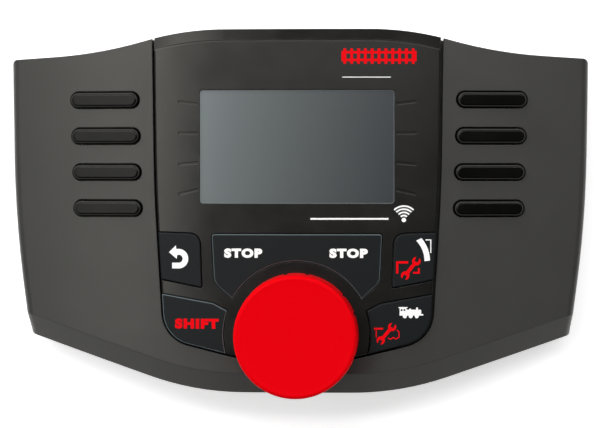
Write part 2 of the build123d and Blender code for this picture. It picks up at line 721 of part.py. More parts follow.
# ------------------------------------------------------------------ display stack
def display_window():
    """Clear curved lens, glued behind the panel by its flange."""
    place = Pos(0, WINDOW_Y)
    lens_top = PANEL_APEX - LENS_SINK
    plug = between(place * window_face(-LENS_CLEAR), PANEL_INNER - 0.2, lens_top, LENS_BOTTOM)
    low = PANEL_INNER - LENS_FLANGE_THICK
    flange = between(place * window_face(LENS_FLANGE), low, PANEL_INNER, LENS_BOTTOM)
    return plug + flange


def lcd_half():
    return WINDOW_W / 2 + LCD_MARGIN, WINDOW_H / 2 + LCD_MARGIN


def lcd_glass():
    half_w, half_h = lcd_half()
    glass = box_at(-half_w, half_w, WINDOW_Y - half_h, WINDOW_Y + half_h, LCD_TOP - LCD_THICK, LCD_TOP)
    return chamfer(glass.edges().group_by(Axis.Z)[-1], 0.15)


def lcd_backlight():
    half_w, half_h = lcd_half()
    high = LCD_TOP - LCD_THICK - 0.1
    half_w -= LIGHT_IN
    half_h -= LIGHT_IN
    return box_at(-half_w, half_w, WINDOW_Y - half_h, WINDOW_Y + half_h, high - LIGHT_THICK, high)


def lcd_holder():
    """Moulded tray that keeps the glass and its light on the main board."""
    half_w, half_h = lcd_half()
    in_w = half_w + HOLDER_CLEAR
    in_h = half_h + HOLDER_CLEAR
    out_w = in_w + HOLDER_WALL
    out_h = in_h + HOLDER_WALL
    open_w = half_w - HOLDER_RIM
    open_h = half_h - HOLDER_RIM
    tray = box_at(-out_w, out_w, WINDOW_Y - out_h, WINDOW_Y + out_h, PCB_TOP, LCD_TOP)
    low = LCD_TOP - LCD_THICK - LIGHT_THICK - 0.15
    tray -= box_at(-in_w, in_w, WINDOW_Y - in_h, WINDOW_Y + in_h, low, LCD_TOP + 1)
    slot_low = LCD_TOP - LCD_THICK - 2 * FLEX_THICK
    tray -= box_at(-FLEX_SLOT, FLEX_SLOT, WINDOW_Y - out_h - 1, WINDOW_Y - half_h + 1, slot_low, LCD_TOP + 1)
    tray -= box_at(-open_w, open_w, WINDOW_Y - open_h, WINDOW_Y + open_h, 0, LCD_TOP)
    return tray


def lcd_seal():
    """Foam frame between the glass and the lens."""
    place = Pos(0, WINDOW_Y)
    ring = place * window_face(LENS_FLANGE) - place * window_face(LENS_FLANGE - SEAL_W)
    return prism(ring, LCD_TOP, PANEL_APEX) & barrel(PANEL_INNER - LENS_FLANGE_THICK - 0.02)


def lcd_flex():
    """Flat lead from the glass's near edge down to the main board."""
    edge = WINDOW_Y - lcd_half()[1]
    high = LCD_TOP - LCD_THICK - FLEX_GAP
    low = high - FLEX_THICK
    points = [
        (edge + FLEX_LAP, low),
        (edge - FLEX_BEND, low),
        (edge - FLEX_FOOT, PCB_TOP),
        (edge - FLEX_FOOT - FLEX_THICK, PCB_TOP),
        (edge - FLEX_BEND - FLEX_THICK, high),
        (edge + FLEX_LAP, high),
    ]
    face = make_face(Polyline(*points, close=True).edges())
    return extrude(Plane.YZ * face, amount=FLEX_HALF_W, both=True)


# ------------------------------------------------------------------ knob and encoder
def shaft_plan(grow=0.0):
    """Round shaft with one flat."""
    radius = SHAFT_R + grow
    flat = SHAFT_FLAT + grow
    return Pos(0, KNOB_Y) * (Circle(radius) - Pos(0, flat + 5) * Rectangle(20, 10))


def knob():
    """Large turned-and-pressed knob with shallow finger grooves round its rim."""
    cone = Cone(KNOB_R, KNOB_TOP_R, KNOB_H)
    body = Pos(0, KNOB_Y, (KNOB_LOW + KNOB_HIGH) / 2) * cone
    body = fillet(body.edges().group_by(Axis.Z)[-1], KNOB_EDGE)
    hollow_top = KNOB_HIGH - KNOB_CROWN
    hollow = rod(KNOB_TOP_R - KNOB_WALL, 0, KNOB_Y, KNOB_LOW - 1, hollow_top)
    hub_low = KNOB_LOW + HUB_UP
    hollow -= rod(HUB_R, 0, KNOB_Y, hub_low, hollow_top)
    body -= hollow
    body -= prism(shaft_plan(), hub_low - 1, shaft_top())
    for grip in range(KNOB_GRIPS):
        angle = math.radians(360 / KNOB_GRIPS * grip)
        reach = KNOB_R + GRIP_CUT_R - GRIP_CUT_DEPTH
        x, y = reach * math.cos(angle), KNOB_Y + reach * math.sin(angle)
        body -= rod(GRIP_CUT_R, x, y, KNOB_LOW - 1, KNOB_HIGH - KNOB_EDGE)
    return body


def shaft_top():
    return KNOB_HIGH - KNOB_CROWN


def encoder_shaft():
    """Shaft with a flat at its foot, for the rotor, and one at its top, for the knob."""
    shaft = rod(SHAFT_R, 0, KNOB_Y, PCB_TOP + SHAFT_FOOT, shaft_top())
    flat = KNOB_Y + SHAFT_FLAT
    for low, high in ((PCB_TOP, PCB_TOP + ENC_H + 0.4), (KNOB_LOW + HUB_UP - 0.1, KNOB_HIGH)):
        shaft -= box_at(-SHAFT_R, SHAFT_R, flat, KNOB_Y + SHAFT_R, low, high)
    return shaft


def encoder_body():
    """Square housing with a threaded bush, hollow for the rotor."""
    half = ENC_SIDE / 2
    high = PCB_TOP + ENC_H
    body = box_at(-half, half, KNOB_Y - half, KNOB_Y + half, PCB_TOP, high)
    body = chamfer(body.edges().filter_by(Axis.Z), ENC_CORNER)
    body += rod(BUSH_R, 0, KNOB_Y, high - 0.1, KNOB_LOW + ENC_BUSH_UP)
    body -= rod(SHAFT_R + RUN_CLEAR, 0, KNOB_Y, PCB_TOP + ENC_FLOOR, KNOB_HIGH)
    body -= rod(ROTOR_R + ROTOR_GAP, 0, KNOB_Y, PCB_TOP + ENC_FLOOR, high - ENC_ROOF)
    body -= rod(SHAFT_R + 0.3, 0, KNOB_Y, PCB_TOP + DOME_LOW, PCB_TOP + ENC_FLOOR + 0.1)
    return body


def encoder_rotor():
    low = PCB_TOP + ENC_FLOOR + ROTOR_GAP
    disc = rod(ROTOR_R, 0, KNOB_Y, low, PCB_TOP + ENC_H - ENC_ROOF - ROTOR_GAP)
    return disc - prism(shaft_plan(0.02), PCB_TOP, PCB_TOP + ENC_H)


def push_dome():
    """Snap disc under the shaft that clicks when the knob is pressed."""
    return rod(SHAFT_R, 0, KNOB_Y, PCB_TOP + DOME_LOW, PCB_TOP + DOME_LOW + DOME_THICK)


# ------------------------------------------------------------------ boards and parts
def pcb_face():
    main = shrink(seam_face(), LEDGE + PCB_MARGIN)
    tongue = Pos(0, KNOB_Y) * Rectangle(ENC_SIDE + 7, ENC_SIDE + 1.2)
    clip = Pos(0, PCB_FAR - 50) * Rectangle(100, 100)
    return (main + tongue) & clip


def main_board():
    board = prism(pcb_face(), PCB_Z, PCB_TOP)
    for x, y in four_ways(PANEL_BOSSES):
        board -= rod(KEY_SCREW_R + 0.15, x, y, 0, 40)
    return board


def board_screws():
    screws = []
    for x, y in four_ways(PANEL_BOSSES):
        head = rod(BOARD_HEAD_R, x, y, PCB_Z - BOARD_HEAD_H, PCB_Z)
        screws.append(head + rod(KEY_SCREW_R, x, y, PCB_Z - 0.1, PCB_TOP + PANEL_HOLE_UP - 0.5))
    return screws


def panel_key_mat():
    """Silicone sheet with a dome under each panel key, round the encoder."""
    zone = Pos(0, (PMAT_FAR + PMAT_NEAR) / 2) * Rectangle(100, PMAT_FAR - PMAT_NEAR)
    sheet = shrink(pcb_face(), PMAT_IN) & zone
    sheet -= Pos(0, KNOB_Y - 5) * Rectangle(ENC_SIDE + 2, ENC_SIDE + 12)
    base = PCB_TOP + PMAT_SHEET
    mat = prism(sheet, PCB_TOP, base)
    for x, y in four_ways(PDOMES):
        mat += Pos(x, y, base) * Cone(PDOME_R, PDOME_TOP_R, PKEY_BOTTOM - base - 0.1, align=UPWARDS)
    return mat


def ribbon(side):
    """Flat lead from a key board, under the panel's ledge, to the main board."""
    at_board = board_place(side) * Pos(-side * (FKEY_L / 2 - 3), 0, 0)
    low = -FKEY_DEPTH - FMAT_THICK - BOARD_THICK
    start = (at_board * Pos(0, 0, low)).position
    drop = LEDGE_TOP - LEDGE_THICK - RIBBON_DROP
    heights = (drop, drop, PCB_Z - RIBBON_THICK, PCB_Z - RIBBON_THICK)
    path = [(abs(start.X) + 1.5, start.Z - 0.6), (abs(start.X), start.Z - 0.4)]
    path += zip(RIBBON_BENDS, heights)
    points = path + [(x, z + RIBBON_THICK) for x, z in reversed(path)]
    face = make_face(Polyline(*points, close=True).edges())
    strip = Pos(0, start.Y, 0) * extrude(Plane.XZ * face, amount=RIBBON_HALF_W, both=True)
    return strip if side > 0 else mirror_x(strip)


def chip(x, y, width, depth, height, leads):
    """Moulded chip with its leads, under the main board."""
    body = box_at(x - width / 2, x + width / 2, y - depth / 2, y + depth / 2, PCB_Z - height, PCB_Z - 0.2)
    body = chamfer(body.edges().group_by(Axis.Z)[0], CHIP_EDGE)
    pitch = depth / (leads + 1)
    out = width / 2 + LEAD_REACH
    for step in range(leads):
        at = y - depth / 2 + pitch * (step + 1)
        body += box_at(x - out, x + out, at - LEAD_W / 2, at + LEAD_W / 2, PCB_Z - LEAD_THICK, PCB_Z)
    return body


def wireless_board():
    return box_at(*WIRELESS, PCB_Z - WIRELESS_THICK, PCB_Z)


def wireless_shield():
    x0, x1, y0, y1 = WIRELESS
    inner = SHIELD_IN
    high = PCB_Z - WIRELESS_THICK
    can = box_at(x0 + inner, x1 - AERIAL_L, y0 + inner, y1 - inner, high - SHIELD_H, high)
    return fillet(can.edges().filter_by(Axis.Z), SHIELD_R)


def power_coil():
    low = PCB_Z - COIL_H
    spool = rod(COIL_R, COIL_X, COIL_Y, low, PCB_Z)
    winding = rod(COIL_R + 1, COIL_X, COIL_Y, low + COIL_LIP, PCB_Z - COIL_LIP)
    return spool - (winding - rod(COIL_CORE_R, COIL_X, COIL_Y, low, PCB_Z))


def capacitors():
    cans = [rod(CAP_R, CAP_X, CAP_Y - CAP_PITCH * step, PCB_Z - CAP_H, PCB_Z) for step in range(CAPS)]
    return [fillet(can.edges().group_by(Axis.Z)[0], CAP_EDGE) for can in cans]


def connectors():
    """Sockets for the two key boards' leads, beside the display's tray."""
    x0 = lcd_half()[0] + HOLDER_WALL + 0.5
    y = board_place(1).position.Y
    block = box_at(x0, x0 + SOCKET_W, y - SOCKET_HALF_L, y + SOCKET_HALF_L, PCB_TOP, PCB_TOP + SOCKET_H)
    return [block, mirror_x(block)]


# ------------------------------------------------------------------ battery cells
def cell_y(index):
    return BAY_Y + CELL_PITCH * ((CELLS - 1) / 2 - index)


def cell(index):
    """Small round cell; neighbours lie opposite ways round."""
    can = Cylinder(CELL_R, CELL_L)
    can = fillet(can.edges(), CELL_EDGE)
    nub = Pos(0, 0, CELL_L / 2 + CELL_NUB_L / 2) * Cylinder(CELL_NUB_R, CELL_NUB_L)
    turn = 90 if index % 2 else -90
    return Pos(0, cell_y(index), CELL_Z) * Rot(0, turn, 0) * (can + nub)


def contact_plates(side):
    """Nickel plates that link neighbouring cells at one end of the bay."""
    half = PLATE_THICK / 2
    x = side * (BAY_HALF_L - half)
    pairs = [(0, 1), (2, 3)] if side > 0 else [(0, 0), (1, 2), (3, 3)]
    plates = []
    for first, last in pairs:
        y0 = cell_y(last) - PLATE_PAST
        y1 = cell_y(first) + PLATE_PAST
        plates.append(box_at(x - half, x + half, y0, y1, CELL_Z - PLATE_HALF_H, CELL_Z + PLATE_HALF_H))
    return plates


def contact_springs():
    """Coil springs at the cells' flat ends."""
    springs = []
    for index in range(CELLS):
        side = -1 if index % 2 else 1
        start = CELL_L / 2
        length = BAY_HALF_L - PLATE_THICK - start
        coil = Helix(pitch=length / SPRING_TURNS, height=length - 2 * SPRING_END, radius=SPRING_R)
        wire = Plane(coil @ 0, z_dir=coil % 0) * Circle(SPRING_WIRE_R)
        spring = sweep(wire, path=coil, is_frenet=True)
        foot = Pos(side * (start + SPRING_END), cell_y(index), CELL_Z)
        springs.append(foot * Rot(0, side * 90, 0) * spring)
    return springs


# ------------------------------------------------------------------ all pieces
def pieces():
    nodes = {
        "front_frame": front_frame(),
        "centre_panel": centre_panel(),
        "rear_shell": rear_shell(),
        "battery_door": battery_door(),
        "display_window": display_window(),
        "rubber_feet": rubber_feet(),
        "case_screws": case_screws(),
        "lcd_glass": lcd_glass(),
        "lcd_backlight": lcd_backlight(),
        "lcd_holder": lcd_holder(),
        "lcd_seal": lcd_seal(),
        "lcd_flex": lcd_flex(),
        "knob": knob(),
        "encoder_shaft": encoder_shaft(),
        "encoder_body": encoder_body(),
        "encoder_rotor": encoder_rotor(),
        "push_dome": push_dome(),
        "main_board": main_board(),
        "board_screws": board_screws(),
        "panel_key_mat": panel_key_mat(),
        "key_board_screws": key_board_screws(),
        "wireless_board": wireless_board(),
        "wireless_shield": wireless_shield(),
        "power_coil": power_coil(),
        "capacitors": capacitors(),
        "connectors": connectors(),
        "contact_springs": contact_springs(),
    }
    for side, word in ((-1, "left"), (1, "right")):
        for row in range(FKEY_ROWS):
            nodes[f"function_key_{word}_{row + 1}"] = function_key(side, row)
        nodes[f"{word}_key_mat"] = key_mat(side)
        nodes[f"{word}_key_board"] = key_board(side)
        nodes[f"{word}_ribbon"] = ribbon(side)
        nodes[f"{word}_contact_plates"] = contact_plates(side)
    for name, sizes in CHIPS.items():
        nodes[name] = chip(*sizes)
    for name in PANEL_KEYS:
        nodes[name] = panel_key(name)
    for index in range(CELLS):
        nodes[f"cell_{index + 1}"] = cell(index)
    return nodes


def main():
    os.makedirs("parts", exist_ok=True)
    for name, shape in pieces().items():
        solids = shape if isinstance(shape, list) else [shape]
        loose = [solid for item in solids for solid in (HOME * item).solids()]
        piece = loose[0] if len(loose) == 1 else Compound(children=loose)
        export_step(piece, f"parts/{name}.step")


if __name__ == "__main__":
    main()
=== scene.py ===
import math

import bmesh
import bpy
from mathutils import Matrix, Vector
from mathutils.bvhtree import BVHTree

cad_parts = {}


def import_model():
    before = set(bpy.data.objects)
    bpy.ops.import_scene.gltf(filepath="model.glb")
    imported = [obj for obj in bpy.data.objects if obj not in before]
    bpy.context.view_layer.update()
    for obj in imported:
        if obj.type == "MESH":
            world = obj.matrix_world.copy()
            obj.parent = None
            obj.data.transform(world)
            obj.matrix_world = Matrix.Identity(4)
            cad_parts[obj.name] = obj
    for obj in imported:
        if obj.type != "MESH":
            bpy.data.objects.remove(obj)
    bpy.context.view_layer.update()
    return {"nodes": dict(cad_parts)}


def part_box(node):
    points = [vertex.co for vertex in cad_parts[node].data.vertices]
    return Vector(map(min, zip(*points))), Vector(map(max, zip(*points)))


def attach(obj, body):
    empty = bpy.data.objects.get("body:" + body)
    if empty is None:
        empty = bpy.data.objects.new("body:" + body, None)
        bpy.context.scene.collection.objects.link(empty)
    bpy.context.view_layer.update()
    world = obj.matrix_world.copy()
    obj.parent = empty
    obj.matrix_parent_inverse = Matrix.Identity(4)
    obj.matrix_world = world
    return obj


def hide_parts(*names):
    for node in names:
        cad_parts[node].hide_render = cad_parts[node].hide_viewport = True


bl_info = {
    "name": "Railway Hand Controller",
    "version": (1, 0, 0),
    "blender": (4, 5, 0),
    "location": "3D View > Sidebar > Controller",
    "description": "Finishes, knob, printed marks and studio for a hand-held model railway controller",
    "category": "Object",
}

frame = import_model()
MM = 0.001

# Places read from the frame
KNOB_LOW, KNOB_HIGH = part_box("knob")
KNOB_CENTRE = (KNOB_LOW + KNOB_HIGH) / 2
LENS_LOW, LENS_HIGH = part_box("display_window")
PANEL_LOW, PANEL_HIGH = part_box("centre_panel")
FUNCTION_KEYS = [f"function_key_{side}_{row}" for side in ("left", "right") for row in (1, 2, 3, 4)]
PANEL_KEYS = ["back_key", "stop_key", "shift_key", "turnout_key", "loco_key"]
CELLS = ["cell_1", "cell_2", "cell_3", "cell_4"]


# ---------------------------------------------------------------- settings
def colour(name, text, default):
    return bpy.props.FloatVectorProperty(
        name=name, description=text, subtype="COLOR", size=3, min=0, max=1, default=default
    )


def length(name, text, default):
    return bpy.props.FloatProperty(
        name=name, description=text, unit="LENGTH", subtype="DISTANCE", default=default
    )


class ControllerFinish(bpy.types.PropertyGroup):
    """Colours of the mouldings."""

    grip: colour("Grips", "Front frame, rear shell and battery door", (0.049, 0.0485, 0.0458))
    panel: colour("Panel", "Raised centre panel", (0.0045, 0.0044, 0.0042))
    panel_key: colour("Panel keys", "Keys round the knob", (0.0092, 0.0115, 0.0122))
    function_key: colour("Function keys", "Pill-shaped keys in the grips", (0.002, 0.002, 0.0018))
    # The two ends of the display's painted reflection: pale at the far left, dark at the near right.
    display_reflection_pale: colour("Display, far left", "Display where it is palest", (0.2, 0.228, 0.23))
    display_reflection_dark: colour("Display, near right", "Display where it is darkest", (0.044, 0.049, 0.053))
    knob: colour("Knob", "Speed knob", (0.87, 0.0003, 0.0046))


class ControllerKnob(bpy.types.PropertyGroup):
    """Shape of the speed knob's outer skin."""

    grips: bpy.props.IntProperty(name="Grips", description="Finger grooves round the rim", default=18, min=3)
    grip_radius: length("Groove radius", "Radius of one finger groove", 0.8 * MM)
    grip_depth: length("Groove depth", "How far a groove cuts into the rim", 0.3 * MM)
    draft: length("Draft", "How much smaller the top is than the rim", 0.3 * MM)
    edge: length("Edge", "Radius of the top's outer edge", 1.0 * MM)
    dish: length("Dish", "How far the middle of the top lies below its rim", 0.25 * MM)


class ControllerPrint(bpy.types.PropertyGroup):
    """Printed marks on the panel and its keys."""

    white: colour("White ink", "Marks for running functions", (0.93, 0.93, 0.92))
    red: colour("Red ink", "Marks for settings", (0.76, 0.0008, 0.005))
    lift: length("Ink height", "How far the ink stands above the plastic", 0.04 * MM)
    weight: bpy.props.FloatProperty(
        name="Letter weight", description="Thickening of the letters", default=0.28
    )


class ControllerStudio(bpy.types.PropertyGroup):
    """Camera and lights."""

    height: length("Camera height", "Camera above the face", 0.5995)
    aside: length("Camera aside", "Camera's foot, to the right of the middle", 0.02988)
    far: length("Camera far", "Camera's foot, away from the user from the middle", 0.01162)
    lens: bpy.props.FloatProperty(
        name="Lens", description="Focal length in millimetres", default=134.34, min=10
    )
    key: bpy.props.FloatProperty(
        name="Key light", description="Power of the long soft box, left", default=3.0
    )
    top: bpy.props.FloatProperty(
        name="Top light", description="Power of the dim soft box overhead", default=0.86
    )
    high: bpy.props.FloatProperty(
        name="High light", description="Power of the soft box high on the far side", default=5.8
    )
    side: bpy.props.FloatProperty(
        name="Side light", description="Power of the low soft box, left", default=1.9
    )
    low: bpy.props.FloatProperty(
        name="Low light", description="Power of the low soft box, far side", default=3.0
    )
    sky: bpy.props.FloatProperty(name="Surroundings", description="Brightness of the room", default=0.07)


# ---------------------------------------------------------------- material helpers
class Nodes:
    """A material's node tree with short calls to add and join nodes."""

    def __init__(self, name):
        self.material = bpy.data.materials.new(name)
        self.material.use_nodes = True
        self.tree = self.material.node_tree
        self.tree.nodes.clear()
        self.out = self.add("ShaderNodeOutputMaterial")
        self.skin = self.add("ShaderNodeBsdfPrincipled")
        self.join(self.skin.outputs["BSDF"], self.out.inputs["Surface"])
        self.place = self.add("ShaderNodeTexCoord").outputs["Object"]

    def add(self, kind, **inputs):
        node = self.tree.nodes.new(kind)
        for key, value in inputs.items():
            node.inputs[key].default_value = value
        return node

    def join(self, start, end):
        self.tree.links.new(start, end)

    def noise(self, size, detail=2.0, rough=0.5, at=None):
        """Cloudy pattern whose features are about this size in metres."""
        node = self.add("ShaderNodeTexNoise", Scale=1 / size, Detail=detail, Roughness=rough)
        self.join(at or self.place, node.inputs["Vector"])
        return node.outputs["Fac"]

    def remap(self, value, low, high, to_low, to_high):
        node = self.add("ShaderNodeMapRange")
        for key, number in (("From Min", low), ("From Max", high), ("To Min", to_low), ("To Max", to_high)):
            node.inputs[key].default_value = number
        self.join(value, node.inputs["Value"])
        return node.outputs["Result"]

    def blend(self, share, first, second):
        """Colour that goes from the first to the second as share goes from 0 to 1."""
        node = self.add("ShaderNodeMix")
        node.data_type = "RGBA"
        self.join(share, node.inputs["Factor"])
        for letter, value in (("A", first), ("B", second)):
            socket = [one for one in node.inputs if one.name == letter and one.type == "RGBA"][0]
            if isinstance(value, tuple):
                socket.default_value = (*value, 1)
            else:
                self.join(value, socket)
        return [one for one in node.outputs if one.type == "RGBA"][0]

    def bump(self, height, depth, after=None):
        node = self.add("ShaderNodeBump", Strength=1.0, Distance=depth)
        self.join(height, node.inputs["Height"])
        if after is not None:
            self.join(after, node.inputs["Normal"])
        return node.outputs["Normal"]

    def rounding(self, radius):
        """Normals of an edge broken to this radius."""
        bevel = self.add("ShaderNodeBevel", Radius=radius)
        bevel.samples = 6
        return bevel.outputs["Normal"]

    def edges(self, radius, start=0.004, full=0.12):
        """1 along outer edges, 0 on open faces."""
        face = self.add("ShaderNodeNewGeometry").outputs["Normal"]
        dot = self.add("ShaderNodeVectorMath")
        dot.operation = "DOT_PRODUCT"
        self.join(self.rounding(radius), dot.inputs[0])
        self.join(face, dot.inputs[1])
        return self.remap(dot.outputs["Value"], 1 - start, 1 - full, 0.0, 1.0)


    def slope(self, low, high):
        """1 where the surface leans, its normal's height between these; 0 on flats and on upright walls."""
        split = self.add("ShaderNodeSeparateXYZ")
        self.join(self.add("ShaderNodeNewGeometry").outputs["Normal"], split.inputs["Vector"])
        below = self.remap(split.outputs["Z"], high, high - 0.04, 0.0, 1.0)
        above = self.remap(split.outputs["Z"], low - 0.04, low, 0.0, 1.0)
        both = self.add("ShaderNodeMath")
        both.operation = "MULTIPLY"
        self.join(below, both.inputs[0])
        self.join(above, both.inputs[1])
        return both.outputs["Value"]


def tint(base, factor):
    return tuple(min(1.0, c * factor) for c in base)


WARM = (1, 0.98, 0.91)
NEUTRAL = (1, 1, 1)


def moulded(
    name, base, rough, shine, grain=0.35 * MM, height=0.012 * MM, painted_highlight_gain=1.15, edge=0.3 * MM, gloss=WARM, crest=None
):
    """Spark-textured plastic: fine grain, faint mottling, smudges, and a painted highlight that makes its edges
    or its crest paler.
    """
    mat = Nodes(name)
    mottle = mat.noise(14 * MM, detail=3)
    plain = mat.blend(mottle, tint(base, 0.93), tint(base, 1.07))
    # Painted highlight: the edges, or the crest band where the surface leans, are paled as if they caught the
    # light.
    painted_highlight_mask = mat.slope(*crest) if crest else mat.edges(edge)
    coloured = mat.blend(painted_highlight_mask, plain, tint(base, painted_highlight_gain))
    mat.join(coloured, mat.skin.inputs["Base Color"])
    smudge = mat.noise(9 * MM, detail=4, rough=0.6)
    mat.join(mat.remap(smudge, 0.3, 0.75, rough - 0.035, rough + 0.045), mat.skin.inputs["Roughness"])
    mat.skin.inputs["Specular IOR Level"].default_value = shine
    mat.skin.inputs["Specular Tint"].default_value = (*gloss, 1)
    fine = mat.noise(grain, detail=2, rough=0.6)
    mat.join(mat.bump(fine, height, mat.rounding(edge)), mat.skin.inputs["Normal"])
    return mat.material


def finish_nodes(names, material):
    """Gives CAD nodes their finish."""
    for name in names:
        node = frame["nodes"][name]
        node.data.materials.clear()
        node.data.materials.append(material)


# ---------------------------------------------------------------- shape helpers
def new_piece(context, name, mesh, material, body):
    """Object for a finished mesh, riding on a body."""
    mesh.materials.clear()
    mesh.materials.append(material)
    piece = bpy.data.objects.new(name, mesh)
    context.scene.collection.objects.link(piece)
    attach(piece, body)
    return piece


def settled_mesh(context, made):
    """Plain mesh of what an object's curve or modifiers give; the object itself is removed."""
    context.scene.collection.objects.link(made)
    context.view_layer.update()
    ready = made.evaluated_get(context.evaluated_depsgraph_get())
    mesh = bpy.data.meshes.new_from_object(ready)
    data = made.data
    bpy.data.objects.remove(made)
    if isinstance(data, bpy.types.Curve):
        bpy.data.curves.remove(data)
    return mesh


def plate(context, name, loops):
    """Plate 2 mm thick, in millimetres, on closed loops; a loop inside another is a hole."""
    curve = bpy.data.curves.new(name, "CURVE")
    curve.dimensions = "2D"
    curve.fill_mode = "BOTH"
    curve.extrude = 1.0
    for loop in loops:
        spline = curve.splines.new("POLY")
        spline.points.add(len(loop) - 1)
        for point, (x, y) in zip(spline.points, loop):
            point.co = (x, y, 0, 1)
        spline.use_cyclic_u = True
    return settled_mesh(context, bpy.data.objects.new(name, curve))


def lettering(context, text, box, weight):
    """Plate of block letters, in millimetres, stretched to fill a box (left, low, right, high)."""
    font = bpy.data.curves.new("letters", "FONT")
    font.body = text
    font.size = 4.0
    font.extrude = 1.0
    font.offset = weight
    font.resolution_u = 4
    font.space_character = 1.2
    mesh = settled_mesh(context, bpy.data.objects.new("letters", font))
    low = [min(v.co[axis] for v in mesh.vertices) for axis in (0, 1)]
    high = [max(v.co[axis] for v in mesh.vertices) for axis in (0, 1)]
    for vertex in mesh.vertices:
        for axis in (0, 1):
            share = (vertex.co[axis] - low[axis]) / (high[axis] - low[axis])
            vertex.co[axis] = box[axis] + share * (box[axis + 2] - box[axis])
    return mesh


def surface_of(node):
    """Function that gives the height of a CAD node's upper surface over a point."""
    mesh = frame["nodes"][node].data
    corners = [vertex.co.copy() for vertex in mesh.vertices]
    tree = BVHTree.FromPolygons(corners, [tuple(face.vertices) for face in mesh.polygons])

    def height(x, y):
        near = [(x, y), (x + 0.01 * MM, y + 0.007 * MM), (x - 0.008 * MM, y - 0.01 * MM)]
        hits = [tree.ray_cast(Vector((a, b, 1.0)), Vector((0, 0, -1)))[0] for a, b in near]
        if not any(hits):
            raise RuntimeError(f"{node} has no surface at {x:.4f}, {y:.4f}")
        return max(hit.z for hit in hits if hit)

    return height


def drape(name, plates, height, lift, sink):
    """One mesh of plates laid on a curved surface, standing and sinking this much."""
    work = bmesh.new()
    for mesh in plates:
        work.from_mesh(mesh)
        bpy.data.meshes.remove(mesh)
    bmesh.ops.remove_doubles(work, verts=work.verts, dist=1e-4)
    left = math.ceil(min(vertex.co.x for vertex in work.verts))
    right = math.floor(max(vertex.co.x for vertex in work.verts))
    for line in range(left, right + 1):
        everything = [*work.verts, *work.edges, *work.faces]
        bmesh.ops.bisect_plane(work, geom=everything, plane_co=(line, 0, 0), plane_no=(1, 0, 0), dist=1e-4)
    for vertex in work.verts:
        x, y = vertex.co.x * MM, vertex.co.y * MM
        vertex.co = (x, y, height(x, y) + (lift if vertex.co.z > 0 else -sink))
    bmesh.ops.recalc_face_normals(work, faces=work.faces)
    mesh = bpy.data.meshes.new(name)
    work.to_mesh(mesh)
    work.free()
    return mesh


# ---------------------------------------------------------------- flat shapes, in millimetres
def arc(x, y, radius, start, end, steps=16):
    """Points along an arc, angles in degrees."""
    turns = [math.radians(start + (end - start) * step / steps) for step in range(steps + 1)]
    return [(x + radius * math.cos(turn), y + radius * math.sin(turn)) for turn in turns]


def band(x, y, inner, outer, start, end):
    """Part of a ring."""
    return arc(x, y, outer, start, end) + arc(x, y, inner, end, start)


def disc(x, y, radius):
    return arc(x, y, radius, 0, 348.75, 31)


def oblong(left, low, right, high):
    return [(left, low), (right, low), (right, high), (left, high)]


def strip(points, width):
    """Outline of a line of this width, with mitred corners."""
    sides = [[], []]
    for index, (x, y) in enumerate(points):
        ends = [points[max(index - 1, 0)], points[index], points[min(index + 1, len(points) - 1)]]
        runs = [Vector(b) - Vector(a) for a, b in zip(ends, ends[1:]) if a != b]
        across = [Vector((-run.y, run.x)).normalized() for run in runs]
        middle = sum(across, Vector((0, 0))).normalized()
        reach = width / 2 / middle.dot(across[0])
        sides[0].append((x + middle.x * reach, y + middle.y * reach))
        sides[1].append((x - middle.x * reach, y - middle.y * reach))
    return sides[0] + sides[1][::-1]


def spanner(start, end, head, stem, mouth):
    """Open-ended spanner between the centres of its two heads."""
    start, end = Vector(start), Vector(end)
    along = (end - start).normalized()
    lean = math.degrees(math.atan2(along.y, along.x))
    neck = math.degrees(math.asin(stem / 2 / head))
    gap = math.degrees(math.asin(mouth / 2 / head))
    outline = []
    for centre, facing, tilt in ((end, lean, 15), (start, lean + 180, 15)):
        opening = facing + tilt
        outline += arc(centre.x, centre.y, head, facing - 180 + neck, opening - gap, 10)
        for side in (-1, 1):
            turn = math.radians(opening)
            axis = Vector((math.cos(turn), math.sin(turn)))
            across = Vector((-axis.y, axis.x)) * side * mouth / 2
            corner = centre + across - axis * mouth * 0.15
            outline.append((corner.x, corner.y))
        outline += arc(centre.x, centre.y, head, opening + gap, facing + 180 - neck, 10)
    return outline


def engine(x, y):
    """Side of a plain tank engine, cab at the left, with two cab windows as holes."""
    top = [
        (0.0, 3.0), (2.45, 3.0), (2.45, 2.72), (2.15, 2.72), (2.15, 2.3), (2.85, 2.3), (2.9, 2.58),
        (3.35, 2.58), (3.4, 2.3), (4.75, 2.3), (4.7, 2.85), (5.25, 2.85), (5.2, 2.3), (5.85, 2.3),
        (6.1, 2.05), (6.1, 1.15), (6.65, 1.1), (6.65, 0.72),
    ]
    wheels = []
    for centre in (4.9, 3.3, 1.7):
        wheels += arc(centre, 0.55, 0.55, 15.8, -195.8, 14)
    back = [(0.3, 0.72), (0.3, 2.72), (0.0, 2.72)]
    windows = [oblong(0.62, 1.95, 1.08, 2.45), oblong(1.36, 1.95, 1.82, 2.45)]
    return [[(x + a, y + b) for a, b in loop] for loop in (top + wheels + back, *windows)]


def track(left, low, right, high, sleepers):
    """Stretch of straight track from above: two rails across sleepers."""
    pitch = (right - left) / sleepers
    wide = pitch * 0.42
    overhang = (high - low) * 0.17
    rail = (high - low) * 0.16
    far, near = high - overhang, low + overhang
    upper, lower, gaps = [], [], []
    for index in range(sleepers):
        a = left + pitch * index + (pitch - wide) / 2
        b = a + wide
        upper += [(a, far), (a, high), (b, high), (b, far)]
        lower += [(a, near), (a, low), (b, low), (b, near)]
        if index:
            gaps.append(oblong(a - pitch + wide, near + rail, a, far - rail))
    outer = [(left, far), *upper, (right, far), (right, near), *lower[::-1], (left, near)]
    return [outer, *gaps]


